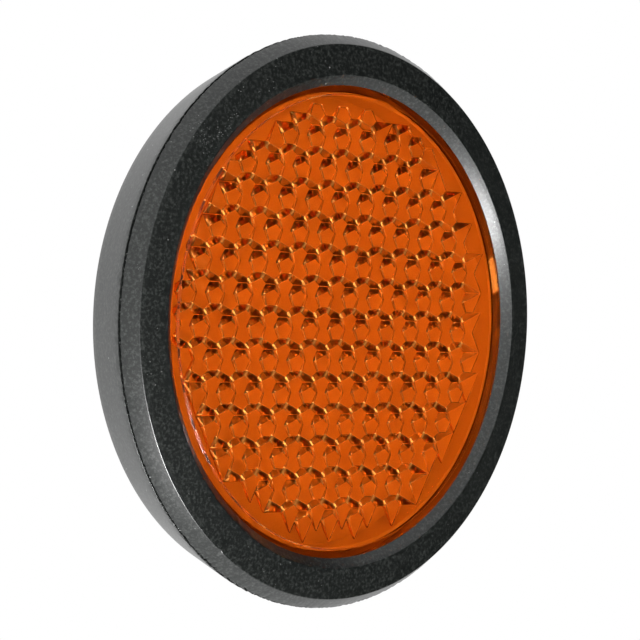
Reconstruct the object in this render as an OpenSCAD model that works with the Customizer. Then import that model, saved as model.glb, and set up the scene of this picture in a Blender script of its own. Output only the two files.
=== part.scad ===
// Round reflector in a rubber surround, for a mudguard, rack or trailer.
// An amber lens with moulded corner-cube prisms is welded to a back plate. A screw
// stud is moulded into the plate, and a soft rubber housing is stretched over both.
//
// The reflector's axis is Y. The lens faces -Y and +Z is up. The origin is on the
// axis, in the plane where the back of the rubber meets the panel.

/* [Lens] */
// Outer diameter of the lens, under the rubber lip
lens_d = 63.4; // [50:0.2:80]
// Wall of the lens in front of the prisms
lens_front_t = 2; // [1.2:0.1:3]
// Width of the lower ring round the front of the lens
lens_rim_w = 2.1; // [1.5:0.1:4]
// How far the middle of the front stands above that ring
lens_step_h = 0.25; // [0.1:0.05:0.6]
// Thickness of the skirt that stands on the back plate
skirt_t = 1.6; // [1:0.1:2.5]
// Rounding of the edge round the front of the lens
lens_edge_r = 0.35; // [0.1:0.05:0.5]

/* [Prisms] */
// Width of one prism across its flats
prism_af = 2.73; // [1.8:0.01:4]
// Smooth ring between the prisms and the inside of the skirt
prism_margin = 0.9; // [0.5:0.1:4]
// Height of the plinth that carries the whole block of prisms
plinth_h = 0.3; // [0.1:0.05:1]
// How far the lens is turned in the rubber, anticlockwise from the front
lens_turn = 27.3; // [0:0.1:60]
// Air gap between the tips of the prisms and the back plate
tip_gap = 1.94; // [0.3:0.02:3]

/* [Back plate] */
// Thickness of the plate
plate_t = 2.2; // [2:0.1:4]
// Diameter of the boss that fills the hole in the rubber
boss_d = 14; // [12:0.2:18]
// Height of the collar that locates the plate inside the skirt
collar_h = 1.2; // [0.6:0.1:2.5]
// Thickness of that collar
collar_t = 0.6; // [0.4:0.1:0.8]
// Air between the collar and the skirt
collar_gap = 0.1; // [0.05:0.05:0.2]

/* [Rubber housing] */
// Rubber between the lens and the widest point
rubber_wall = 5.7; // [4.5:0.1:9]
// Thickness of the rubber behind the plate
rubber_back_t = 1.8; // [1.2:0.1:4]
// How far the lip laps over the front of the lens
lip_overlap = 0.9; // [0.5:0.1:1.5]
// Height of the lip in front of the lens ring
lip_h = 1.12; // [0.6:0.02:2]
// How much the opening widens towards the front
lip_flare = 1.3; // [0.5:0.05:2]
// How far the front face falls back from the lip to the ridge
face_drop = 0.55; // [0.2:0.05:1]
// How far the ridge lies inside the widest point
ridge_inset = 1.4; // [0.8:0.1:2]
// Distance from the ridge back to the parting line of the mould
ridge_to_parting = 2; // [1.2:0.1:3]
// How far the back edge lies inside the widest point
back_inset = 2.6; // [0.5:0.1:3.5]
// Rounding of the ridge and of the lip's edge
ridge_r = 0.22; // [0.1:0.02:0.3]
// Rounding of the back edge
back_r = 0.9; // [0.3:0.1:1.2]
// Width of the fine groove behind the parting line
groove_w = 0.4; // [0.2:0.05:0.6]
// Depth of that groove
groove_depth = 0.4; // [0.2:0.05:0.6]
// Air round the lens and round the boss
rubber_gap = 0.1; // [0.05:0.05:0.3]

/* [Stud] */
// Diameter over the crests of the thread
thread_d = 5; // [4:0.5:6]
// Diameter of the rolled shank, and of the thread where the nut grips it
shank_d = 4.5; // [3.5:0.1:4.9]
// Length of bare thread behind the nut, up to the tip's chamfer
bare_thread_l = 9.2; // [6:0.2:25]
// Chamfer at the tip
tip_chamfer = 0.6; // [0.3:0.1:0.9]
// Width across the flats of the head inside the plate
head_af = 9; // [8:0.2:10]
// Height of the head
head_h = 1.6; // [1:0.1:2]
// Plate left in front of the head
head_cover = 1.2; // [0.8:0.1:1.5]

/* [Washers and nut] */
// Outer diameter of the flat washer
washer_d = 10; // [9:0.2:12]
// Thickness of the flat washer
washer_t = 1; // [0.8:0.1:1.6]
// Play of both washers round the thread
washer_play = 0.15; // [0.05:0.05:0.3]
// Outer diameter of the spring washer
spring_d = 9.2; // [8:0.2:10]
// Thickness of the spring washer
spring_t = 1.2; // [1:0.1:1.6]
// Width of the split in the spring washer
split_w = 0.6; // [0.3:0.1:1]
// Slant of the split
split_angle = 25; // [10:1:40]
// Width of the nut across its flats
nut_af = 8; // [7:0.5:10]
// Height of the nut
nut_h = 4; // [3:0.1:5]
// Angle of the chamfer on the nut's corners
nut_chamfer = 30; // [20:1:35]

/* [Hidden] */
$fn = 180;

// Steps in a rounded corner of a profile
corner_steps = 4;
// Extra length of a tool that cuts right through
through = 1;

// Radii
lens_r = lens_d / 2;
pocket_r = lens_r + rubber_gap;
widest_r = pocket_r + rubber_wall;
opening_r = lens_r - lip_overlap;
skirt_r = lens_r - skirt_t;
field_r = skirt_r - prism_margin;
boss_r = boss_d / 2;
thread_r = thread_d / 2;
shank_r = shank_d / 2;
washer_hole_r = thread_r + washer_play;

// Each prism is a hexagonal pin that ends in the corner of a cube. Three ridges run
// from the tip to the middles of every second side, and the corners lie higher still.
ridge_rise = prism_af * sqrt(2) / 4;
prism_h = 2 * ridge_rise;

// Levels along the axis, from the back of the rubber towards the front
plate_back_z = rubber_back_t;
plate_front_z = plate_back_z + plate_t;
prism_root_z = plate_front_z + tip_gap + prism_h;
lens_floor_z = prism_root_z + plinth_h;
lens_front_z = lens_floor_z + lens_front_t;
lens_rim_z = lens_front_z - lens_step_h;
lip_z = lens_rim_z + lip_h;
ridge_z = lip_z - face_drop;
parting_z = ridge_z - ridge_to_parting;

// Levels behind the back of the rubber
head_front_z = plate_front_z - head_cover;
head_back_z = head_front_z - head_h;
washer_back_z = -washer_t;
spring_back_z = washer_back_z - spring_t;
nut_back_z = spring_back_z - nut_h;
thread_end_z = nut_back_z - bare_thread_l;
tip_z = thread_end_z - tip_chamfer;

// Rounds a profile whose corners are given as [x, y, radius]
function unit(v) = v / norm(v);
function corner(before, at, after) =
    let (
        p = [at[0], at[1]],
        u = unit([before[0], before[1]] - p),
        v = unit([after[0], after[1]] - p),
        half = acos(max(-1, min(1, u * v))) / 2,
        reach = at[2] / tan(half),
        centre = p + unit(u + v) * at[2] / sin(half),
        from = p + u * reach - centre,
        to = p + v * reach - centre,
        start = atan2(from[1], from[0]),
        turn = atan2(from[0] * to[1] - from[1] * to[0], from * to)
    )
    [for (i = [0 : corner_steps])
        centre + at[2] * [cos(start + turn * i / corner_steps), sin(start + turn * i / corner_steps)]];
function rounded(corners) = [
    for (i = [0 : len(corners) - 1])
        let (at = corners[i], n = len(corners))
        each at[2] > 0
            ? corner(corners[(i + n - 1) % n], at, corners[(i + 1) % n])
            : [[at[0], at[1]]]
];

// Turns a piece from its own axis, front upwards, to the reflector's frame
module facing_front() {
    rotate([90, 0, 0]) children();
}

// The soft surround: lip, front face, ridge, two tapered bands that meet at the
// parting line, and a back with a hole for the boss
module rubber_housing() {
    back_r_outer = widest_r - back_inset;
    groove_back_z = parting_z - groove_w;
    profile = rounded([
        [boss_r + rubber_gap, 0, 0],
        [back_r_outer, 0, back_r],
        [widest_r, groove_back_z, 0],
        [widest_r - groove_depth, groove_back_z, 0],
        [widest_r - groove_depth, parting_z, 0],
        [widest_r, parting_z, 0],
        [widest_r - ridge_inset, ridge_z, ridge_r],
        [opening_r + lip_flare, lip_z, ridge_r],
        [opening_r, lens_rim_z, 0],
        [pocket_r, lens_rim_z, 0],
        [pocket_r, plate_back_z, 0],
        [boss_r + rubber_gap, plate_back_z, 0]
    ]);
    color([0.13, 0.14, 0.14])
        facing_front()
            rotate_extrude() polygon(profile);
}

// The prisms stand on a triangular grid. Its points are counted in sixths of a step, so
// that the corners and the middles of the sides are whole numbers too. The axis of the
// lens runs through a corner where three prisms meet.
axis_point = [2, -4];
function grid_point(n, z) =
    let (m = n - axis_point)
    [prism_af / 6 * (m[0] + m[1] / 2), prism_af / 6 * m[1] * sin(60), z];

// The steps to the six neighbours of a prism, in order. Side k faces neighbour k, and
// corner k lies between sides k and k + 1.
steps = [[1, 0], [0, 1], [-1, 1], [-1, 0], [0, -1], [1, -1]];
function side_middle(cell, k) = 6 * cell + 3 * steps[k];
function cell_corner(cell, k) = 6 * cell + 2 * (steps[k] + steps[(k + 1) % 6]);

// Every third prism is turned by one side, so its ridges end at the odd sides
function first_ridge(cell) = (cell[0] - cell[1]) % 3 == 0 ? 1 : 0;
function has_ridge(cell, k) = k % 2 == first_ridge(cell);

function is_prism(cell) =
    norm(grid_point(6 * cell, 0)) + prism_af / sqrt(3) <= field_r;
grid_reach = ceil(field_r / (prism_af * sin(60)));
cells = [for (i = [-grid_reach : grid_reach], j = [-grid_reach : grid_reach])
    if (is_prism([i, j])) [i, j]];

// The whole block of prisms as one solid. It reaches from the tips up into the lens,
// so that the two join without a seam.
module prism_block() {
    tip_z = prism_root_z - prism_h;
    inner_z = lens_floor_z + lens_front_t / 3;
    points = [for (c = cells) each concat(
        [grid_point(6 * c, tip_z)],
        [for (k = [0 : 5]) grid_point(cell_corner(c, k), prism_root_z)],
        [for (m = [0 : 2]) grid_point(side_middle(c, first_ridge(c) + 2 * m), tip_z + ridge_rise)],
        [for (k = [0 : 5]) grid_point(cell_corner(c, k), inner_z)]
    )];
    corner_i = 1;
    ridge_i = 7;
    top_i = 10;
    per_cell = 16;
    faces = [for (n = [0 : len(cells) - 1]) let (
            c = cells[n],
            tip = n * per_cell,
            first = first_ridge(c)
        ) each concat(
            [for (m = [0 : 2]) let (k = first + 2 * m) [
                tip,
                tip + ridge_i + m,
                tip + corner_i + k % 6,
                tip + corner_i + (k + 1) % 6,
                tip + ridge_i + (m + 1) % 3
            ]],
            [[for (k = [0 : 5]) tip + top_i + 5 - k]],
            [for (k = [0 : 5]) let (
                    left = (k + 5) % 6,
                    low_left = tip + corner_i + left,
                    low_right = tip + corner_i + k,
                    ridge = has_ridge(c, k) ? [tip + ridge_i + (k - first) / 2] : [],
                    beside = c + steps[k],
                    open = !is_prism(beside),
                    stepped = has_ridge(c, k) && !has_ridge(beside, (k + 3) % 6)
                )
                if (open || stepped) concat(
                    [low_left],
                    open ? [tip + top_i + left, tip + top_i + k] : [],
                    [low_right],
                    ridge
                )]
        )];
    polyhedron(points = points, faces = faces, convexity = 10);
}

// The lens: a stepped front, a skirt that stands on the plate, and the prisms
module lens() {
    step_r = lens_r - lens_rim_w;
    shell = rounded([
        [0, lens_floor_z, 0],
        [skirt_r, lens_floor_z, 0],
        [skirt_r, plate_front_z, 0],
        [lens_r, plate_front_z, 0],
        [lens_r, lens_rim_z, lens_edge_r],
        [step_r + lens_step_h, lens_rim_z, 0],
        [step_r, lens_front_z, 0],
        [0, lens_front_z, 0]
    ]);
    color([0.85, 0.33, 0.02, 0.9])
        facing_front() rotate([0, 0, lens_turn]) union() {
            rotate_extrude() polygon(shell);
            prism_block();
        }
}

// Hexagonal bar, measured across its flats
module hexagon(across_flats, height) {
    cylinder(d = across_flats / cos(30), h = height, $fn = 6);
}

// The plate that closes the lens, moulded round the head of the stud
module back_plate() {
    collar_r = skirt_r - collar_gap;
    outline = [
        [0, 0],
        [boss_r, 0],
        [boss_r, plate_back_z],
        [lens_r, plate_back_z],
        [lens_r, plate_front_z],
        [collar_r, plate_front_z],
        [collar_r, plate_front_z + collar_h],
        [collar_r - collar_t, plate_front_z + collar_h],
        [collar_r - collar_t, plate_front_z],
        [0, plate_front_z]
    ];
    color([0.86, 0.85, 0.82])
        facing_front() difference() {
            rotate_extrude() polygon(outline);
            translate([0, 0, head_back_z]) hexagon(head_af, head_h);
            translate([0, 0, -through]) cylinder(r = shank_r, h = head_back_z + through);
        }
}

// Stud: a flat hexagon head, a rolled shank and the bare thread behind the nut
module stud() {
    color([0.72, 0.73, 0.75])
        facing_front() union() {
            translate([0, 0, head_back_z]) hexagon(head_af, head_h);
            rotate_extrude() polygon([
                [0, tip_z],
                [thread_r - tip_chamfer, tip_z],
                [thread_r, thread_end_z],
                [thread_r, nut_back_z],
                [shank_r, nut_back_z],
                [shank_r, head_back_z],
                [0, head_back_z]
            ]);
        }
}

// A flat ring between two levels
module ring_plate(outer_r, inner_r, low_z, high_z) {
    rotate_extrude()
        translate([inner_r, low_z]) square([outer_r - inner_r, high_z - low_z]);
}

module washer() {
    color([0.75, 0.76, 0.78])
        facing_front() ring_plate(washer_d / 2, washer_hole_r, washer_back_z, 0);
}

// The spring washer is pressed flat, so only its slanted split shows
module spring_washer() {
    reach = spring_d;
    color([0.55, 0.56, 0.58])
        facing_front() difference() {
            ring_plate(spring_d / 2, washer_hole_r, spring_back_z, washer_back_z);
            translate([spring_d / 2, 0, (spring_back_z + washer_back_z) / 2])
                rotate([split_angle, 0, 0])
                    cube([reach, split_w, reach], center = true);
        }
}

module nut() {
    corner_r = nut_af / 2 / cos(30);
    flat_r = nut_af / 2;
    bevel = (corner_r - flat_r) * tan(nut_chamfer);
    color([0.74, 0.75, 0.77])
        facing_front() difference() {
            intersection() {
                translate([0, 0, nut_back_z]) hexagon(nut_af, nut_h);
                rotate_extrude() polygon([
                    [0, nut_back_z],
                    [flat_r, nut_back_z],
                    [corner_r, nut_back_z + bevel],
                    [corner_r, spring_back_z - bevel],
                    [flat_r, spring_back_z],
                    [0, spring_back_z]
                ]);
            }
            translate([0, 0, nut_back_z - through]) cylinder(r = shank_r, h = nut_h + 2 * through);
        }
}

rubber_housing();
lens();
back_plate();
stud();
washer();
spring_washer();
nut();
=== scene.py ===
# %% [markdown]
# A round reflector in Blender.
#
# The real object is a clear amber lens in a soft black rubber surround. The lens is smooth in
# front, and behind its front it has a block of hexagonal prisms, each ending in the corner of
# a cube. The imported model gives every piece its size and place. This script gives the pieces
# their finish: fine edges on the prisms, the mould's parting line round the rubber, dust, a
# rolled thread, and materials built from nodes.

import math

import bmesh
import bpy
from mathutils import Matrix, Vector, noise


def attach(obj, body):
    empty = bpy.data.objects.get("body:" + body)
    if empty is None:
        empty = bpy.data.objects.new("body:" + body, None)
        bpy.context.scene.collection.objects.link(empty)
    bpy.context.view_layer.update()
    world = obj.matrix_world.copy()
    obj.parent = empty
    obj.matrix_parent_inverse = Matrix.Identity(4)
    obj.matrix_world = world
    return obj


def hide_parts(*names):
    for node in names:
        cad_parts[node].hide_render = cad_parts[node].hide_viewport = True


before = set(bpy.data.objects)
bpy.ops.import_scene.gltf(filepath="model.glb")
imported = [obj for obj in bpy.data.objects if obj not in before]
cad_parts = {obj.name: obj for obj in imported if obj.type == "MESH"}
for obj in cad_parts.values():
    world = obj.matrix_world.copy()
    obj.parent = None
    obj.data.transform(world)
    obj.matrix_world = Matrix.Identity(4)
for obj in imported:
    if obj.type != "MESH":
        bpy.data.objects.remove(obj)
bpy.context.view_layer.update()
MM = 0.001
BODY = "root"
print("nodes:", sorted(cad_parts))

# %% [markdown]
# The camera comes first. The photograph looks at the reflector from 45 degrees to its left and
# from very little above. The long focal length keeps the rings almost free of perspective.
# The camera is placed so that the middle of the ridge falls on its pixel of the photograph.

# %% Camera
IMAGE_W = 640
FOCAL_PX = 2190
SENSOR_MM = 36
CAMERA_AZIMUTH = math.radians(-45.2)
CAMERA_ELEVATION = math.radians(2.1)
CAMERA_DISTANCE = 0.2856
NEAREST_SEEN = 0.01
RIDGE_PIXEL = (350.9, 322.3)
RIDGE_CENTRE = Vector((0, -10.49 * MM, 0))


def camera_axes(azimuth, elevation):
    """Right, up and backward directions of a camera that looks at the front."""
    back = Vector((math.sin(azimuth) * math.cos(elevation),
                   -math.cos(azimuth) * math.cos(elevation),
                   math.sin(elevation)))
    right = Vector((math.cos(azimuth), math.sin(azimuth), 0))
    return right, back.cross(right), back


def place_camera():
    right, up, back = camera_axes(CAMERA_AZIMUTH, CAMERA_ELEVATION)
    metres_per_px = CAMERA_DISTANCE / FOCAL_PX
    place = (RIDGE_CENTRE + back * CAMERA_DISTANCE
             - right * (RIDGE_PIXEL[0] - IMAGE_W / 2) * metres_per_px
             + up * (RIDGE_PIXEL[1] - IMAGE_W / 2) * metres_per_px)
    data = bpy.data.cameras.new("camera")
    data.sensor_width = SENSOR_MM
    data.lens = FOCAL_PX / IMAGE_W * SENSOR_MM
    data.clip_start = NEAREST_SEEN
    camera = bpy.data.objects.new("camera", data)
    bpy.context.scene.collection.objects.link(camera)
    camera.matrix_world = Matrix.Translation(place) @ Matrix((right, up, back)).transposed().to_4x4()
    bpy.context.scene.camera = camera


place_camera()
print("camera at", [round(v, 3) for v in bpy.context.scene.camera.matrix_world.translation])

# %% [markdown]
# Materials and Geometry Nodes are both node trees. One small class wraps a socket, so that
# sums of sockets are written as Python sums, and one method adds any other node.


# %% Node helpers
class Socket:
    """An output socket that can stand in a Python expression."""

    def __init__(self, graph, socket):
        self.graph = graph
        self.socket = socket

    def math(self, operation, *others):
        return self.graph.node("ShaderNodeMath", {"operation": operation},
                               dict(enumerate((self, *others))))

    def flipped(self, operation, other):
        return self.graph.node("ShaderNodeMath", {"operation": operation}, {0: other, 1: self})

    def fraction(self):
        return self.math("FRACT")

    def sibling(self, name):
        """Another output of the same node."""
        return Socket(self.graph, self.socket.node.outputs[name])

    def __add__(self, other):
        return self.math("ADD", other)

    def __sub__(self, other):
        return self.math("SUBTRACT", other)

    def __rsub__(self, other):
        return self.flipped("SUBTRACT", other)

    def __mul__(self, other):
        return self.math("MULTIPLY", other)

    def __truediv__(self, other):
        return self.math("DIVIDE", other)

    def __lt__(self, other):
        return self.math("LESS_THAN", other)

    __radd__ = __add__
    __rmul__ = __mul__


class Graph:
    """A node tree with one method that adds a node."""

    def __init__(self, tree):
        self.tree = tree

    def node(self, kind, settings=None, sockets=None, out=0):
        made = self.tree.nodes.new(kind)
        for name, value in (settings or {}).items():
            if name == "stops":
                ramp = made.color_ramp.elements
                while len(ramp) < len(value):
                    ramp.new(0.5)
                for element, (position, colour) in zip(ramp, value):
                    element.position = position
                    element.color = (*colour, 1)
            else:
                setattr(made, name, value)
        for name, value in (sockets or {}).items():
            if isinstance(value, Socket):
                self.tree.links.new(value.socket, made.inputs[name])
            else:
                made.inputs[name].default_value = value
        return Socket(self, made.outputs[out]) if made.outputs else made

    def place(self):
        return self.node("ShaderNodeTexCoord", out="Object")

    def noise(self, vector, scale, detail=3.0, roughness=0.5, out="Fac"):
        return self.node("ShaderNodeTexNoise", {},
                         {"Vector": vector, "Scale": scale, "Detail": detail,
                          "Roughness": roughness}, out)

    def between(self, value, low, high, to_low=0.0, to_high=1.0):
        """Maps a value from one range to another, and holds it there."""
        return self.node("ShaderNodeMapRange", {"interpolation_type": "SMOOTHSTEP"},
                         {"Value": value, "From Min": low, "From Max": high,
                          "To Min": to_low, "To Max": to_high})

    def mix(self, factor, first, second):
        colours = self.node("ShaderNodeMix", {"data_type": "RGBA"}, {}, 2)
        made = colours.socket.node
        for name, value in ((0, factor), (6, first), (7, second)):
            if isinstance(value, Socket):
                self.tree.links.new(value.socket, made.inputs[name])
            else:
                made.inputs[name].default_value = value if name == 0 else (*value, 1)
        return colours

    def bump(self, height, distance, strength=1.0):
        return self.node("ShaderNodeBump", {},
                         {"Height": height, "Distance": distance, "Strength": strength})

    def gap(self, vector, point):
        """Distance from a fixed point."""
        return self.node("ShaderNodeVectorMath", {"operation": "DISTANCE"},
                         {0: vector, 1: point}, "Value")


def start_material(name):
    material = bpy.data.materials.new(name)
    material.use_nodes = True
    material.node_tree.nodes.clear()
    return material, Graph(material.node_tree)


def finish_surface(graph, sockets, volume=None):
    """Adds the surface shader and the output."""
    shader = graph.node("ShaderNodeBsdfPrincipled", {}, sockets)
    ends = {"Surface": shader}
    if volume:
        ends["Volume"] = volume
    graph.node("ShaderNodeOutputMaterial", {}, ends)


print("node helpers ready")

# %% [markdown]
# The rubber is black and satin. At a grazing view it mirrors the bright surroundings, which is
# what makes the sides look grey. One flat colour would look like plastic, so noise of two sizes
# mottles the black and clouds the gloss, and fine rings are left from the turned steel mould.
# Some pale specks are rubbed into the surface, most of them at the upper left next to the lens.

# %% Rubber finish
RUBBER_DARK = (0.008, 0.010, 0.009)
RUBBER_PALE = (0.058, 0.064, 0.059)
RUBBER_IOR = 1.58
DUST_COLOUR = (0.45, 0.46, 0.45)
DUST_SHADE = (0.16, 0.17, 0.16)
DUST_PATCH = (-27 * MM, -11 * MM, 20 * MM)
DUST_PATCH_R = 16 * MM
DUST_CELL = 1.1 * MM
DUST_SPECK = 0.10
DUST_SHARE = (0.05, 0.32)
DUST_COVER = 0.8
MOTTLE_SCALE = 2500.0
CLOUD_SCALE = 90.0
RUBBER_ROUGHNESS = 0.26
CLOUD_ROUGHNESS = 0.12
DUST_ROUGHNESS = 0.3
RING_SCALE = 5200.0
RING_DRIFT = 0.3 * MM
RING_STRENGTH = 0.8
GRAIN_SCALE = 2600.0
GRAIN_DEPTH = 0.012 * MM
GRAIN_STRENGTH = 0.7


def turning_marks(graph, place):
    """Fine rings round the axis, as the turned steel of the mould leaves them."""
    at = graph.node("ShaderNodeSeparateXYZ", {}, {0: place})
    x, y, z = at, at.sibling("Y"), at.sibling("Z")
    radius = (x * x + z * z).math("SQRT")
    drift = graph.noise(place, 60.0, 1.0) * RING_DRIFT
    ring = graph.node("ShaderNodeCombineXYZ", {}, {"X": radius + drift, "Y": y, "Z": 0.0})
    return graph.noise(ring, RING_SCALE, 2.0, 0.7)


def make_rubber():
    material, graph = start_material("moulded_rubber")
    place = graph.place()
    mottle = graph.noise(place, MOTTLE_SCALE, 4.0, 0.7)
    cloud = graph.noise(place, CLOUD_SCALE, 2.0)
    tone = graph.mix(graph.between(mottle, 0.44, 0.72), RUBBER_DARK, RUBBER_PALE)
    cells = graph.node("ShaderNodeTexVoronoi", {}, {"Vector": place, "Scale": 1 / DUST_CELL},
                       "Distance")
    lot = graph.node("ShaderNodeSeparateColor", {}, {0: cells.sibling("Color")}, "Red")
    nearness = graph.between(graph.gap(place, DUST_PATCH), DUST_PATCH_R, 0.0, *DUST_SHARE)
    chosen = lot < nearness
    speck = (cells < DUST_SPECK) * chosen
    colour = graph.mix(speck * DUST_COVER, tone, DUST_COLOUR)
    roughness = RUBBER_ROUGHNESS + cloud * CLOUD_ROUGHNESS + speck * DUST_ROUGHNESS
    rings = turning_marks(graph, place) * RING_STRENGTH
    grain = graph.bump(graph.noise(place, GRAIN_SCALE, 2.0) + rings, GRAIN_DEPTH, GRAIN_STRENGTH)
    finish_surface(graph, {"Base Color": colour, "Roughness": roughness, "Normal": grain,
                           "IOR": RUBBER_IOR})
    return material


rubber = make_rubber()
print("rubber nodes:", len(rubber.node_tree.nodes))

# %% [markdown]
# The lens is clear acrylic. Light that enters it loses blue and green on its way, so the amber
# comes from absorption inside and a tint at the surface. Its index of refraction, 1.49, decides
# which prism faces reflect and which let the white plate behind show through. A painted pattern
# of pale and dark faces would be easier, but it would not change when the lens is turned.

# %% Amber acrylic
AMBER_TINT = (0.82, 0.347, 0.077)
AMBER_THROUGH = (0.99, 0.55, 0.03)
AMBER_DENSITY = 60.0
ACRYLIC_IOR = 1.49
SMEAR_SCALE = 70.0
SMEAR_ROUGHNESS = 0.05


def make_amber():
    material, graph = start_material("amber_acrylic")
    place = graph.place()
    smear = graph.between(graph.noise(place, SMEAR_SCALE, 4.0), 0.45, 0.8, 0.0, SMEAR_ROUGHNESS)
    depth = graph.node("ShaderNodeVolumeAbsorption", {},
                       {"Color": (*AMBER_THROUGH, 1), "Density": AMBER_DENSITY})
    finish_surface(graph, {"Base Color": (*AMBER_TINT, 1), "Roughness": smear,
                           "IOR": ACRYLIC_IOR, "Transmission Weight": 1.0}, depth)
    return material


amber = make_amber()
print("amber nodes:", len(amber.node_tree.nodes))

# %% [markdown]
# The plate is plain white plastic with a faint mould texture. The stud, washer and nut are
# zinc-plated, and the spring washer is darker spring steel. Plating is never even: it has
# cloudy patches and fine scratches round the axis.

# %% Plastic and metal finishes
PLATE_WHITE = (0.66, 0.65, 0.62)
PLATE_SHADE = (0.58, 0.57, 0.54)
ZINC_BRIGHT = (0.66, 0.67, 0.69)
ZINC_DULL = (0.50, 0.50, 0.50)
SPRING_BRIGHT = (0.44, 0.44, 0.46)
SPRING_DULL = (0.27, 0.26, 0.26)
PLASTIC_ROUGHNESS = 0.42
PLATING_CLOUD_SCALE = 350.0
PLATING_ROUGHNESS = 0.24
SCRATCH_SCALE = 900.0
SCRATCH_STRETCH = (1.0, 14.0, 1.0)
SCRATCH_DEPTH = 0.012 * MM


def make_plastic():
    material, graph = start_material("white_plastic")
    place = graph.place()
    patches = graph.noise(place, 120.0, 3.0)
    grain = graph.bump(graph.noise(place, 4000.0, 2.0), 0.01 * MM, 0.5)
    finish_surface(graph, {"Base Color": graph.mix(patches, PLATE_WHITE, PLATE_SHADE),
                           "Roughness": PLASTIC_ROUGHNESS + patches * 0.15, "Normal": grain})
    return material


def make_plating(name, bright, dull):
    material, graph = start_material(name)
    place = graph.place()
    cloud = graph.between(graph.noise(place, PLATING_CLOUD_SCALE, 5.0), 0.35, 0.7)
    turned = graph.node("ShaderNodeMapping", {}, {"Vector": place, "Scale": SCRATCH_STRETCH})
    scratch = graph.noise(turned, SCRATCH_SCALE, 3.0, 0.7)
    finish_surface(graph, {"Base Color": graph.mix(cloud, bright, dull), "Metallic": 1.0,
                           "Roughness": PLATING_ROUGHNESS + cloud * 0.16 + scratch * 0.1,
                           "Normal": graph.bump(scratch, SCRATCH_DEPTH, 0.5)})
    return material


plastic = make_plastic()
zinc = make_plating("zinc_plating", ZINC_BRIGHT, ZINC_DULL)
spring_steel = make_plating("spring_steel", SPRING_BRIGHT, SPRING_DULL)
for node, material in (("washer", zinc), ("nut", zinc), ("spring_washer", spring_steel)):
    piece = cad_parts[node]
    piece.data.materials.clear()
    piece.data.materials.append(material)
print("finished CAD nodes: washer, nut, spring_washer")

# %% [markdown]
# The rubber surround is one revolved outline. A torus could be bent into it, but an outline of
# named sizes is easier to compare with the real one. The two halves of the mould met at the
# widest line, so a fine groove runs round there between ragged lips. Seeded noise moves the
# points at those lips inwards, most of all at the lower left, where the edge is worn.

# %% Outline of the rubber
LENS_R = 31.7 * MM
POCKET_R = 31.8 * MM
WIDEST_R = 37.5 * MM
HOLE_R = 7.1 * MM
PLATE_BACK = 1.8 * MM
RIM_LEVEL = 9.92 * MM
LIP_LEVEL = 11.04 * MM
RIDGE_LEVEL = 10.49 * MM
PARTING_LEVEL = 8.49 * MM
GROOVE_W = 0.4 * MM
GROOVE_DEPTH = 0.4 * MM
LIP_OVERLAP = 0.9 * MM
LIP_FLARE = 1.3 * MM
RIDGE_INSET = 1.4 * MM
BACK_INSET = 2.6 * MM
SMALL_ROUND = 0.22 * MM
HAIR = 0.02 * MM
BACK_ROUND = 0.9 * MM
LONGEST_SPAN = 1.2 * MM
GROOVE_ROUND = 0.05 * MM


def rounded(corners, steps=5):
    """Replaces each corner (radius from axis, level, rounding) by its arc."""
    points = []
    count = len(corners)
    for i, (r, level, rounding) in enumerate(corners):
        at = Vector((r, level))
        if not rounding:
            points.append(at)
            continue
        u = (Vector(corners[i - 1][:2]) - at).normalized()
        v = (Vector(corners[(i + 1) % count][:2]) - at).normalized()
        half = u.angle(v) / 2
        centre = at + (u + v).normalized() * rounding / math.sin(half)
        start = at + u * rounding / math.tan(half) - centre
        end = at + v * rounding / math.tan(half) - centre
        turn = math.atan2(start.x * end.y - start.y * end.x, start.dot(end))
        for k in range(steps + 1):
            a = turn * k / steps
            points.append(centre + Vector((start.x * math.cos(a) - start.y * math.sin(a),
                                           start.x * math.sin(a) + start.y * math.cos(a))))
    return points


def spread(points):
    """Adds points to the closed outline until no span is longer than LONGEST_SPAN."""
    out = []
    for a, b in zip(points, points[1:] + points[:1]):
        parts = max(1, math.ceil((b - a).length / LONGEST_SPAN))
        out += [a.lerp(b, k / parts) for k in range(parts)]
    return out


groove_back = PARTING_LEVEL - GROOVE_W
opening_r = LENS_R - LIP_OVERLAP
rubber_outline = spread(rounded([
    (HOLE_R, 0, 0),
    (WIDEST_R - BACK_INSET, 0, BACK_ROUND),
    (WIDEST_R, groove_back, GROOVE_ROUND),
    (WIDEST_R - GROOVE_DEPTH, groove_back, 0),
    (WIDEST_R - GROOVE_DEPTH, PARTING_LEVEL, 0),
    (WIDEST_R, PARTING_LEVEL, GROOVE_ROUND),
    (WIDEST_R - RIDGE_INSET, RIDGE_LEVEL, SMALL_ROUND),
    (opening_r + LIP_FLARE, LIP_LEVEL, SMALL_ROUND),
    (opening_r, RIM_LEVEL + HAIR, 0),
    (POCKET_R, RIM_LEVEL + HAIR, 0),
    (POCKET_R, PLATE_BACK, 0),
    (HOLE_R, PLATE_BACK, 0),
]))
print("outline points:", len(rubber_outline))

# %% Rubber surround
SEGMENTS = 900
MERGE = 0.0001 * MM
SOFT_ANGLE = math.radians(32)
RAGGED = 0.16 * MM
RAGGED_WAVES = 90
RAGGED_FROM = 0.42
GNAWED = 0.70 * MM
GNAWED_WAVES = 40
GNAWED_FROM = 0.6
GNAWED_SEED = 7
WORN_SIDE = math.radians(-123)
WORN_SPREAD = math.radians(11)
CHIP_SIDE = math.radians(-130)
CHIP_R = 0.45 * MM
CHIP_DEPTH = 0.22 * MM


def ring_noise(angle, waves, seed):
    """Noise that closes on itself after one turn, from 0 to 1."""
    at = Vector((math.cos(angle), math.sin(angle), 0)) * waves + Vector((seed, seed, seed))
    return 0.5 + 0.5 * noise.noise(at)


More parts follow.
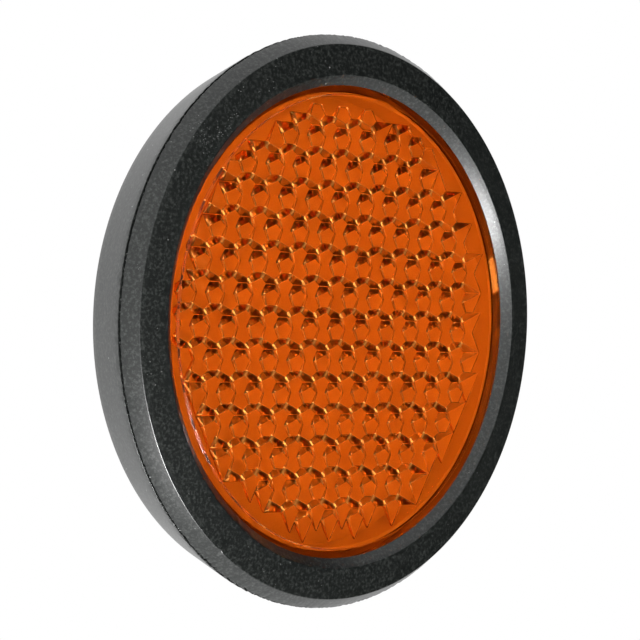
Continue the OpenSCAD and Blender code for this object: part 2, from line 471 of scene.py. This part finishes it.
def wear(r, level, angle):
    """How far a point of the outline moves inwards."""
    inward = 0
    if r > WIDEST_R - GROOVE_DEPTH and abs(level - PARTING_LEVEL + GROOVE_W / 2) < GROOVE_W:
        rough = max(0, ring_noise(angle, RAGGED_WAVES, level / MM) - RAGGED_FROM)
        gnawed = max(0, ring_noise(angle, GNAWED_WAVES, GNAWED_SEED) - GNAWED_FROM)
        worn = math.exp(-((angle - WORN_SIDE) / WORN_SPREAD) ** 2)
        inward += RAGGED * rough * (1.6 + 2.5 * worn) + GNAWED * gnawed * worn
    chip = math.hypot((angle - CHIP_SIDE) * r, level - RIDGE_LEVEL) / CHIP_R
    return inward + CHIP_DEPTH * math.exp(-chip ** 2)


def soften(mesh, angle):
    """Shades a mesh smooth, and keeps every edge crisp that is sharper than the angle."""
    mesh.shade_smooth()
    mesh.set_sharp_from_angle(angle=angle)


def new_piece(name, mesh, slot, *replaced):
    """Adds a mesh to the scene as a piece of the reflector."""
    piece = bpy.data.objects.new(name, mesh)
    bpy.context.scene.collection.objects.link(piece)
    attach(piece, BODY)
    if replaced:
        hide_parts(*replaced)


def revolve(name, outline, segments, worn=None):
    """Turns the closed outline about the reflector's axis. Levels run towards the front."""
    rings = []
    for i in range(segments):
        angle = math.tau * i / segments - math.pi
        for point in outline:
            r = point.x - (worn(point.x, point.y, angle) if worn else 0)
            rings.append((r * math.cos(angle), -point.y, r * math.sin(angle)))
    count = len(outline)
    faces = []
    for i in range(segments):
        for k in range(count):
            a = i * count + k
            b = i * count + (k + 1) % count
            step = (i + 1) % segments * count - i * count
            faces.append((a, b, b + step, a + step))
    mesh = bpy.data.meshes.new(name)
    mesh.from_pydata(rings, [], faces)
    shell = bmesh.new()
    shell.from_mesh(mesh)
    bmesh.ops.remove_doubles(shell, verts=shell.verts, dist=MERGE)
    bare = [edge for edge in shell.edges if not edge.link_faces]
    bmesh.ops.delete(shell, geom=bare, context="EDGES")
    bmesh.ops.recalc_face_normals(shell, faces=shell.faces)
    shell.to_mesh(mesh)
    shell.free()
    return mesh


surround_mesh = revolve("surround", rubber_outline, SEGMENTS, wear)
soften(surround_mesh, SOFT_ANGLE)
surround_mesh.materials.append(rubber)
new_piece("surround", surround_mesh, "rubber", "rubber_housing")
print("surround faces:", len(surround_mesh.polygons))

# %% [markdown]
# The prisms send light back where it came from. Each is a hexagonal pin that ends in the corner
# of a cube, and every third pin is turned by a sixth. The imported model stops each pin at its
# own hexagon. On the real lens the faces of the outermost pins run on until they meet the smooth
# ring, which leaves little spikes round the edge. So the block is built here again as one mesh,
# with its width and place measured once more. A boolean could cut the prisms one by one, but
# computed faces are exactly flat, and a prism that isn't flat bends the light wrongly.

# %% Prism block
PRISM_AF = 2.765 * MM
PRISM_SHIFT = Vector((-0.45, 0, 0.42)) * MM
SPIKE_REACH = 29.3 * MM
PRISM_FIELD_R = 29.2 * MM
PRISM_ROOT = 7.87 * MM
PRISM_TOP = 8.8 * MM
LENS_TURN = math.radians(27.3)
AXIS_POINT = (2, -4)
STEPS = ((1, 0), (0, 1), (-1, 1), (-1, 0), (0, -1), (1, -1))
RIDGE_RISE = PRISM_AF * math.sqrt(2) / 4
PRISM_MERGE = 0.001 * MM


def flat_place(i, j):
    """A grid point, counted in sixths of a step, measured from the lens axis."""
    a, b = i - AXIS_POINT[0], j - AXIS_POINT[1]
    return Vector((a + b / 2, b * math.sqrt(3) / 2)) * PRISM_AF / 6


def grid_point(i, j, level):
    flat = flat_place(i, j)
    x = flat.x * math.cos(LENS_TURN) - flat.y * math.sin(LENS_TURN)
    z = flat.x * math.sin(LENS_TURN) + flat.y * math.cos(LENS_TURN)
    return Vector((x, -level, z)) + PRISM_SHIFT


def is_prism(cell):
    """Whether the whole hexagon of this cell lies inside the field."""
    return flat_place(6 * cell[0], 6 * cell[1]).length + PRISM_AF / math.sqrt(3) <= PRISM_FIELD_R


def beside(cell, side):
    return cell[0] + STEPS[side % 6][0], cell[1] + STEPS[side % 6][1]


def corner(cell, side, level):
    """The corner of a cell between this side and the next."""
    a, b = STEPS[side % 6], STEPS[(side + 1) % 6]
    return grid_point(6 * cell[0] + 2 * (a[0] + b[0]), 6 * cell[1] + 2 * (a[1] + b[1]), level)


def ridge_end(cell, side):
    step = STEPS[side % 6]
    level = PRISM_ROOT - RIDGE_RISE
    return grid_point(6 * cell[0] + 3 * step[0], 6 * cell[1] + 3 * step[1], level)


def has_ridge(cell, side):
    """Whether a ridge of the cube corner ends in the middle of this side."""
    turned = 1 if (cell[0] - cell[1]) % 3 == 0 else 0
    return side % 2 == turned


def prism_faces(cell):
    """The faces of one prism: its cube corner, and walls where nothing stands beside it."""
    tip = grid_point(6 * cell[0], 6 * cell[1], PRISM_ROOT - 2 * RIDGE_RISE)
    faces = [[corner(cell, 5 - k, PRISM_TOP) for k in range(6)]]
    for k in range(6):
        left, right = corner(cell, k - 1, PRISM_ROOT), corner(cell, k, PRISM_ROOT)
        top_left, top_right = corner(cell, k - 1, PRISM_TOP), corner(cell, k, PRISM_TOP)
        is_open = not is_prism(beside(cell, k))
        if not has_ridge(cell, k):
            faces.append([tip, ridge_end(cell, k - 1), left, right, ridge_end(cell, k + 1)])
            if is_open:
                faces.append([left, top_left, top_right, right])
            continue
        end = ridge_end(cell, k)
        far = beside(cell, k)
        spike = grid_point(6 * far[0], 6 * far[1], PRISM_ROOT)
        spike_top = grid_point(6 * far[0], 6 * far[1], PRISM_TOP)
        if is_open and math.hypot(spike.x, spike.z) < SPIKE_REACH:
            faces += [[end, left, spike], [end, spike, right],
                      [left, top_left, spike_top, spike], [spike, spike_top, top_right, right],
                      [top_left, top_right, spike_top]]
        elif is_open:
            faces.append([left, top_left, top_right, right, end])
        elif not has_ridge(far, k + 3):
            faces.append([left, right, end])
    return faces


def build_prisms():
    block = bmesh.new()
    reach = math.ceil(PRISM_FIELD_R / PRISM_AF * 1.3)
    cells = [(i, j) for i in range(-reach, reach + 1) for j in range(-reach, reach + 1)
             if is_prism((i, j))]
    by_corners = {}
    for cell in cells:
        for face in prism_faces(cell):
            key = frozenset(tuple(round(c / MM, 2) + 0.0 for c in point) for point in face)
            by_corners.setdefault(key, []).append(face)
    for faces in by_corners.values():
        if len(faces) == 1:
            block.faces.new([block.verts.new(point) for point in reversed(faces[0])])
    bmesh.ops.remove_doubles(block, verts=block.verts, dist=PRISM_MERGE)
    open_edges = sum(1 for edge in block.edges if len(edge.link_faces) % 2)
    print("prisms:", len(cells), "faces:", len(block.faces), "open edges:", open_edges)
    mesh = bpy.data.meshes.new("prisms")
    block.to_mesh(mesh)
    block.free()
    return mesh


prism_mesh = build_prisms()

# %% [markdown]
# The shell of the lens is another revolved outline: a skirt, a low ring under the rubber lip and
# a front that stands a quarter of a millimetre proud. The step between them has two small
# rounds, which show as two thin lines of light. The shell and the prisms become one body. Then
# the prism edges get a small bevel, because a mould is never perfectly sharp, and that rounding
# is what sparkles. Where two spikes touch, the edges stay as they are, so the body stays closed.

# %% Lens
SKIRT_R = 30.1 * MM
STEP_R = 29.6 * MM
PLATE_FRONT = 4.0 * MM
LENS_FLOOR = 8.17 * MM
FRONT_LEVEL = 10.17 * MM
LENS_EDGE = 0.35 * MM
STEP_LEAN = 0.12 * MM
STEP_ROUND = 0.08 * MM
PRISM_BEVEL = 0.10 * MM
BEVEL_SEGMENTS = 4
BEVEL_ANGLE = 0.6
FLAT_ANGLE = 0.001
RING_MARGIN = 0.05 * MM
SHARP_ANGLE = math.radians(40)
LENS_SEGMENTS = 360


def joined(shell_mesh, other_mesh):
    """The union of two closed meshes."""
    shell = bpy.data.objects.new("shell", shell_mesh)
    other = bpy.data.objects.new("other", other_mesh)
    for made in (shell, other):
        bpy.context.scene.collection.objects.link(made)
    union = shell.modifiers.new("union", "BOOLEAN")
    union.operation = "UNION"
    union.solver = "EXACT"
    union.object = other
    bpy.context.view_layer.update()
    result = shell.evaluated_get(bpy.context.evaluated_depsgraph_get())
    mesh = bpy.data.meshes.new_from_object(result)
    for made in (shell, other):
        bpy.data.objects.remove(made)
    return mesh


def is_prism_edge(edge):
    """Whether an edge of the lens is a sharp edge of a prism that can be rounded."""
    level = max(-v.co.y for v in edge.verts)
    inside = level < (PRISM_ROOT + LENS_FLOOR) / 2
    behind = min(-v.co.y for v in edge.verts) > PRISM_ROOT - 3 * RIDGE_RISE
    near = all(math.hypot(v.co.x, v.co.z) < SKIRT_R - HAIR for v in edge.verts)
    simple = all(len(other.link_faces) == 2 for v in edge.verts for other in v.link_edges)
    return inside and behind and near and simple and edge.calc_face_angle(0) > BEVEL_ANGLE


lens_outline = rounded([
    (0, LENS_FLOOR, 0),
    (SKIRT_R, LENS_FLOOR, 0),
    (SKIRT_R, PLATE_FRONT, 0),
    (LENS_R, PLATE_FRONT, 0),
    (LENS_R, RIM_LEVEL, LENS_EDGE),
    (STEP_R + STEP_LEAN, RIM_LEVEL, STEP_ROUND),
    (STEP_R, FRONT_LEVEL, STEP_ROUND),
    (0, FRONT_LEVEL, 0),
])
lens_shape = bmesh.new()
lens_shape.from_mesh(joined(revolve("lens_shell", lens_outline, LENS_SEGMENTS), prism_mesh))
bmesh.ops.remove_doubles(lens_shape, verts=lens_shape.verts, dist=PRISM_MERGE)
bmesh.ops.dissolve_limit(lens_shape, angle_limit=FLAT_ANGLE, verts=lens_shape.verts,
                         edges=lens_shape.edges)
prism_edges = [edge for edge in lens_shape.edges if is_prism_edge(edge)]
rounding = bmesh.ops.bevel(lens_shape, geom=prism_edges, offset=PRISM_BEVEL,
                           segments=BEVEL_SEGMENTS, profile=0.5, affect="EDGES",
                           offset_type="OFFSET")
rounded_faces = set(rounding["faces"])
for edge in lens_shape.edges:
    edge.smooth = edge.calc_face_angle(0) < SHARP_ANGLE
for face in lens_shape.faces:
    middle = face.calc_center_bounds()
    on_ring = math.hypot(middle.x, middle.z) > STEP_R - RING_MARGIN
    face.smooth = face in rounded_faces or on_ring
lens_open = sum(1 for edge in lens_shape.edges if len(edge.link_faces) % 2)
lens_mesh = bpy.data.meshes.new("lens_optic")
lens_shape.to_mesh(lens_mesh)
lens_shape.free()
lens_mesh.materials.append(amber)
new_piece("lens_optic", lens_mesh, "amber_acrylic", "lens")
print("prism edges rounded:", len(prism_edges), "lens faces:", len(lens_mesh.polygons),
      "open edges:", lens_open)

# %% [markdown]
# Behind the lens lies a white plate with a thin collar. Seen through the lens it is what makes
# the amber shine, right out to the smooth ring, so here the collar stands as high as the prisms
# leave room for. It is one more revolved outline, with the pocket of the stud's head inside.

# %% Light plate
COLLAR_R = 30.0 * MM
COLLAR_WALL = 0.5 * MM
COLLAR_LEVEL = 8.0 * MM
BOSS_R = 7.0 * MM
SHANK_R = 2.25 * MM
HEAD_POCKET_R = 5.2 * MM
HEAD_BACK = 1.2 * MM
HEAD_FRONT = 2.8 * MM
PLATE_SEGMENTS = 240

plate_mesh = revolve("light_plate", [Vector(point) for point in (
    (0, HEAD_FRONT),
    (HEAD_POCKET_R, HEAD_FRONT),
    (HEAD_POCKET_R, HEAD_BACK),
    (SHANK_R, HEAD_BACK),
    (SHANK_R, 0),
    (BOSS_R, 0),
    (BOSS_R, PLATE_BACK),
    (LENS_R, PLATE_BACK),
    (LENS_R, PLATE_FRONT - HAIR),
    (COLLAR_R, PLATE_FRONT - HAIR),
    (COLLAR_R, COLLAR_LEVEL),
    (COLLAR_R - COLLAR_WALL, COLLAR_LEVEL),
    (COLLAR_R - COLLAR_WALL, PLATE_FRONT),
    (0, PLATE_FRONT),
)], PLATE_SEGMENTS)
soften(plate_mesh, SOFT_ANGLE)
plate_mesh.materials.append(plastic)
new_piece("light_plate", plate_mesh, "white_abs", "back_plate")
print("light plate faces:", len(plate_mesh.polygons))

# %% [markdown]
# The next pieces repeat, so Geometry Nodes make them. Each tree has named inputs, and ends by
# realizing its instances and setting its material. The result is then turned into a mesh.


# %% Geometry Nodes helper
def grow(name, inputs, build, material, start=None):
    """Runs a new Geometry Nodes tree and returns its result as a plain mesh."""
    tree = bpy.data.node_groups.new(name, "GeometryNodeTree")
    tree.interface.new_socket("Geometry", in_out="INPUT", socket_type="NodeSocketGeometry")
    tree.interface.new_socket("Geometry", in_out="OUTPUT", socket_type="NodeSocketGeometry")
    identifiers = {}
    for title, value in inputs.items():
        kind = "NodeSocketInt" if isinstance(value, int) else "NodeSocketFloat"
        socket = tree.interface.new_socket(title, in_out="INPUT", socket_type=kind)
        identifiers[title] = socket.identifier
    graph = Graph(tree)
    entry = graph.node("NodeGroupInput")
    made = build(graph, entry)
    made = graph.node("GeometryNodeRealizeInstances", {}, {"Geometry": made})
    made = graph.node("GeometryNodeSetMaterial", {}, {"Geometry": made, "Material": material})
    graph.node("NodeGroupOutput", {}, {"Geometry": made})
    host = bpy.data.objects.new(name, start or bpy.data.meshes.new(name))
    bpy.context.scene.collection.objects.link(host)
    modifier = host.modifiers.new(name, "NODES")
    modifier.node_group = tree
    for title, value in inputs.items():
        modifier[identifiers[title]] = value
    bpy.context.view_layer.update()
    result = host.evaluated_get(bpy.context.evaluated_depsgraph_get())
    mesh = bpy.data.meshes.new_from_object(result)
    mesh.name = name
    host.modifiers.remove(modifier)
    bpy.data.objects.remove(host)
    return mesh


print("Geometry Nodes helper ready")

# %% [markdown]
# The stud is a rolled M5 thread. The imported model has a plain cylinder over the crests. Here
# a finely divided rod gets its radius from a formula: the height along the rod, less the turn
# round it, gives the place in the thread's groove. A swept profile would make the same thread,
# but a formula needs no seam where the groove runs out at the shank and at the tip.

# %% Threaded stud
THREAD = {
    "Pitch": 0.8 * MM,
    "Groove": 0.49 * MM,
    "Thread radius": 2.5 * MM,
    "Shank radius": 2.25 * MM,
    "Rod top": 1.2 * MM,
    "Thread top": -6.2 * MM,
    "Tip": -16.0 * MM,
    "Tip radius": 1.9 * MM,
    "Head width": 9.0 * MM,
    "Head height": 1.6 * MM,
    "Sides": 48,
    "Rings": 240,
}
FLANK_SLOPE = 2.6
CREST = 0.15
WHOLE_TURNS = 100.0
THREAD_ANGLE = math.radians(40)


def build_stud(graph, entry):
    rod_l = entry.sibling("Rod top") - entry.sibling("Tip")
    rod = graph.node("GeometryNodeMeshCylinder", {},
                     {"Vertices": entry.sibling("Sides"), "Side Segments": entry.sibling("Rings"),
                      "Radius": 1.0, "Depth": rod_l})
    at = graph.node("ShaderNodeSeparateXYZ", {}, {0: graph.node("GeometryNodeInputPosition")})
    x, y = at, at.sibling("Y")
    level = at.sibling("Z") + (entry.sibling("Rod top") + entry.sibling("Tip")) * 0.5
    turn = y.math("ARCTAN2", x) / math.tau
    phase = (level / entry.sibling("Pitch") - turn + WHOLE_TURNS).fraction()
    flank = (phase - 0.5).math("ABSOLUTE") * FLANK_SLOPE - CREST
    flank = flank.math("MAXIMUM", 0.0).math("MINIMUM", 1.0)
    cut = entry.sibling("Thread radius") - flank * entry.sibling("Groove")
    tapered = entry.sibling("Tip radius") + level - entry.sibling("Tip")
    threaded = cut.math("MINIMUM", tapered)
    is_thread = level < entry.sibling("Thread top")
    radius = threaded * is_thread + entry.sibling("Shank radius") * (1.0 - is_thread)
    side = graph.node("ShaderNodeCombineXYZ", {}, {"X": x * radius, "Y": y * radius, "Z": level})
    rod = graph.node("GeometryNodeSetPosition", {}, {"Geometry": rod, "Position": side})
    head_r = entry.sibling("Head width") / math.sqrt(3)
    head = graph.node("GeometryNodeMeshCylinder", {},
                      {"Vertices": 6, "Radius": head_r, "Depth": entry.sibling("Head height")})
    lift = graph.node("ShaderNodeCombineXYZ", {},
                      {"Z": entry.sibling("Rod top") + entry.sibling("Head height") * 0.5})
    head = graph.node("GeometryNodeTransform", {}, {"Geometry": head, "Translation": lift})
    both = graph.node("GeometryNodeJoinGeometry", {}, {"Geometry": rod})
    graph.tree.links.new(head.socket, both.socket.node.inputs[0])
    return graph.node("GeometryNodeTransform", {},
                      {"Geometry": both, "Rotation": (math.pi / 2, 0.0, 0.0)})


stud_mesh = grow("threaded_stud", THREAD, build_stud, zinc)
soften(stud_mesh, THREAD_ANGLE)
new_piece("threaded_stud", stud_mesh, "zinc_steel", "stud")
print("stud faces:", len(stud_mesh.polygons))

# %% [markdown]
# Where the mould halves met, rubber crept into the gap and was torn off. What is left are small
# ragged tabs in the groove. They follow the parting line, so a circle carries them: a fixed
# share of its points get a little wedge, each of another size.

# %% Flash in the parting line
FLASH = {
    "Line radius": WIDEST_R - 0.30 * MM,
    "Line level": PARTING_LEVEL - GROOVE_W / 2,
    "Places": 640,
    "Share": 0.33,
    "Tab width": 0.30 * MM,
    "Seed": 11,
}
SMALLEST_TAB = (0.5, 0.5, 0.25)
LARGEST_TAB = (1.6, 0.9, 0.95)


def build_flash(graph, entry):
    line = graph.node("GeometryNodeCurvePrimitiveCircle", {},
                      {"Resolution": entry.sibling("Places"), "Radius": entry.sibling("Line radius")})
    points = graph.node("GeometryNodeCurveToPoints", {"mode": "EVALUATED"}, {"Curve": line})
    taken = graph.node("FunctionNodeRandomValue", {"data_type": "BOOLEAN"},
                       {"Probability": entry.sibling("Share"), "Seed": entry.sibling("Seed")}, 3)
    tab = graph.node("GeometryNodeMeshCone", {},
                     {"Vertices": 5, "Radius Top": 0.25, "Radius Bottom": 0.7, "Depth": 0.7})
    sizes = graph.node("FunctionNodeRandomValue", {"data_type": "FLOAT_VECTOR"},
                       {0: SMALLEST_TAB, 1: LARGEST_TAB, "Seed": 5}, 0)
    scale = graph.node("ShaderNodeVectorMath", {"operation": "SCALE"},
                       {0: sizes, "Scale": entry.sibling("Tab width")})
    outward = graph.node("FunctionNodeAlignRotationToVector", {"axis": "Z"},
                         {"Vector": graph.node("GeometryNodeInputPosition")})
    tabs = graph.node("GeometryNodeInstanceOnPoints", {},
                      {"Points": points, "Selection": taken, "Instance": tab,
                       "Rotation": outward, "Scale": scale})
    rise = graph.node("ShaderNodeCombineXYZ", {}, {"Z": entry.sibling("Line level")})
    tabs = graph.node("GeometryNodeTransform", {}, {"Geometry": tabs, "Translation": rise})
    return graph.node("GeometryNodeTransform", {},
                      {"Geometry": tabs, "Rotation": (math.pi / 2, 0.0, 0.0)})


flash_mesh = grow("parting_flash", FLASH, build_flash, rubber)
new_piece("parting_flash", flash_mesh, "rubber")
print("flash tabs faces:", len(flash_mesh.polygons))

# %% [markdown]
# Dust is what tells the eye that rubber is rubber. The flakes are scattered over the front face
# of the surround by Geometry Nodes. A density that falls with the distance from a point makes
# them thickest at the upper left, next to the lens, and noise leaves bare places between them.
# No flake may stand higher than the lip, so their points are pressed down to its level.

# %% Dust
DUST = {
    "Least density": 4.0e5,
    "Most density": 8.0e6,
    "Patch radius": 22.0 * MM,
    "Back level": 10.3 * MM,
    "Front level": 10.98 * MM,
    "Highest flake": 11.025 * MM,
    "Flake": 0.05 * MM,
    "Seed": 4,
}
SMALLEST_FLAKE = (0.3, 0.3, 0.3)
LARGEST_FLAKE = (2.1, 1.4, 0.5)
BARE_SCALE = 210.0


def build_dust(graph, entry):
    place = graph.node("GeometryNodeInputPosition")
    forward = graph.node("ShaderNodeSeparateXYZ", {}, {0: place}, "Y") * -1.0
    on_face = (entry.sibling("Back level") < forward) * (forward < entry.sibling("Front level"))
    near = graph.between(graph.gap(place, DUST_PATCH), entry.sibling("Patch radius"), 0.0,
                         entry.sibling("Least density"), entry.sibling("Most density"))
    density = near * on_face * graph.between(graph.noise(place, BARE_SCALE, 3.0), 0.48, 0.66)
    points = graph.node("GeometryNodeDistributePointsOnFaces", {},
                        {"Mesh": entry, "Density": density, "Seed": entry.sibling("Seed")})
    flake = graph.node("GeometryNodeMeshIcoSphere", {}, {"Radius": 1.0, "Subdivisions": 1})
    sizes = graph.node("FunctionNodeRandomValue", {"data_type": "FLOAT_VECTOR"},
                       {0: SMALLEST_FLAKE, 1: LARGEST_FLAKE, "Seed": 8}, 0)
    scale = graph.node("ShaderNodeVectorMath", {"operation": "SCALE"},
                       {0: sizes, "Scale": entry.sibling("Flake")})
    flakes = graph.node("GeometryNodeInstanceOnPoints", {},
                        {"Points": points, "Instance": flake,
                         "Rotation": points.sibling("Rotation"), "Scale": scale})
    flakes = graph.node("GeometryNodeRealizeInstances", {}, {"Geometry": flakes})
    at = graph.node("ShaderNodeSeparateXYZ", {}, {0: place})
    pressed = at.sibling("Y").math("MAXIMUM", -1.0 * entry.sibling("Highest flake"))
    pressed = graph.node("ShaderNodeCombineXYZ", {}, {"X": at, "Y": pressed, "Z": at.sibling("Z")})
    return graph.node("GeometryNodeSetPosition", {}, {"Geometry": flakes, "Position": pressed})


def make_dust():
    material, graph = start_material("pale_dust")
    tone = graph.noise(graph.place(), 1500.0, 1.0)
    finish_surface(graph, {"Base Color": graph.mix(tone, DUST_SHADE, DUST_COLOUR),
                           "Roughness": 0.7 + tone * 0.2})
    return material


dust_mesh = grow("surround_dust", DUST, build_dust, make_dust(), surround_mesh.copy())
new_piece("surround_dust", dust_mesh, "rubber")
print("dust faces:", len(dust_mesh.polygons))

# %% [markdown]
# The white surroundings are part of the picture: they make the sides of the rubber pale, and
# they light the lens from behind its prisms. The world is white for the camera and for rays
# that left gloss or glass, and softer for everything else.

# %% World
WORLD_SEEN = 1.0
WORLD_LIGHT = 0.55


def seen_directly(graph):
    """1 for rays from the camera, from gloss and through glass."""
    path = graph.node("ShaderNodeLightPath")
    either = path.math("MAXIMUM", path.sibling("Is Glossy Ray"))
    return either.math("MAXIMUM", path.sibling("Is Transmission Ray"))


world = bpy.data.worlds.new("studio")
world.use_nodes = True
world.node_tree.nodes.clear()
graph = Graph(world.node_tree)
strength = seen_directly(graph) * (WORLD_SEEN - WORLD_LIGHT) + WORLD_LIGHT
graph.node("ShaderNodeOutputWorld", {},
           {"Surface": graph.node("ShaderNodeBackground", {},
                                  {"Color": (1, 1, 1, 1), "Strength": strength})})
bpy.context.scene.world = world
bpy.context.scene.view_settings.view_transform = "Standard"
print("world light", WORLD_LIGHT)

# %% [markdown]
# Each lamp lights one kind of ray, as if the others were shaded from it. The soft one lights
# matte surfaces. The low one, in front and at the left, is mirrored by the ridge and by the
# inner wall of the lip at the right. Four small ones are seen only through the lens, where the
# rounded prism edges catch them as sparkles. A black card at the right is what the flat front of
# the rubber mirrors towards the camera, and what the dark prism faces show. The floor and the
# card are stage pieces.

# %% Lamps, card and floor
LAMPS = (
    ("lamp_soft", (-0.35, -0.20, -0.30), 0.35, 2.6, "diffuse"),
    ("lamp_low", (-0.23, -0.36, -0.32), 0.20, 7.0, "glossy"),
    ("lamp_spark_low", (-0.42, -0.36, -0.16), 0.12, 3.2, "transmission"),
    ("lamp_spark_high", (-0.05, -0.45, 0.40), 0.12, 3.2, "transmission"),
    ("lamp_spark_right", (0.25, -0.50, 0.22), 0.10, 1.9, "transmission"),
    ("lamp_spark_left", (-0.55, 0.10, 0.15), 0.10, 1.9, "transmission"),
)
CARD_PLACE = Vector((0.46, -0.40, 0))
CARD_SIZE = 1.1
CARD_THROUGH_LENS = 0.03
FLOOR_LEVEL = -0.60
FLOOR_SIZE = 4.0
FLOOR_PALE = (0.8, 0.8, 0.8, 1)


def place_lamp(name, place, size, watts, rays):
    """A square lamp that looks at the reflector and lights only one kind of ray."""
    lamp = bpy.data.lights.new(name, "AREA")
    lamp.size = size
    lamp.energy = watts
    holder = bpy.data.objects.new(name, lamp)
    bpy.context.scene.collection.objects.link(holder)
    holder.location = place
    holder.rotation_euler = (-Vector(place)).to_track_quat("-Z", "Y").to_euler()
    holder.visible_diffuse = rays == "diffuse"
    holder.visible_glossy = rays == "glossy"
    holder.visible_transmission = rays == "transmission"


def stage_plane(name, size, matrix, material):
    half = size / 2
    mesh = bpy.data.meshes.new(name)
    mesh.from_pydata([(-half, -half, 0), (half, -half, 0), (half, half, 0), (-half, half, 0)],
                     [], [(0, 1, 2, 3)])
    mesh.transform(matrix)
    mesh.materials.append(material)
    plane = bpy.data.objects.new(name, mesh)
    bpy.context.scene.collection.objects.link(plane)
    return plane


def make_card_black():
    material, graph = start_material("card_black")
    seen = graph.node("ShaderNodeLightPath", out="Is Transmission Ray") * CARD_THROUGH_LENS
    glow = graph.node("ShaderNodeEmission", {}, {"Color": (1, 1, 1, 1), "Strength": seen})
    graph.node("ShaderNodeOutputMaterial", {}, {"Surface": glow})
    return material


def make_floor_pale():
    material, graph = start_material("floor_pale")
    matte = graph.node("ShaderNodeBsdfDiffuse", {}, {"Color": FLOOR_PALE})
    white = graph.node("ShaderNodeEmission", {}, {"Color": (1, 1, 1, 1), "Strength": 1.0})
    surface = graph.node("ShaderNodeMixShader", {}, {0: seen_directly(graph), 1: matte, 2: white})
    graph.node("ShaderNodeOutputMaterial", {}, {"Surface": surface})
    return material


for lamp in LAMPS:
    place_lamp(*lamp)
facing_in = (-CARD_PLACE).to_track_quat("Z", "Y").to_matrix().to_4x4()
card = stage_plane("card", CARD_SIZE, Matrix.Translation(CARD_PLACE) @ facing_in,
                   make_card_black())
card.visible_camera = False
card.visible_shadow = False
card.visible_diffuse = False
stage_plane("floor", FLOOR_SIZE, Matrix.Translation((0, 0, FLOOR_LEVEL)), make_floor_pale())
print("lamps:", [lamp[0] for lamp in LAMPS])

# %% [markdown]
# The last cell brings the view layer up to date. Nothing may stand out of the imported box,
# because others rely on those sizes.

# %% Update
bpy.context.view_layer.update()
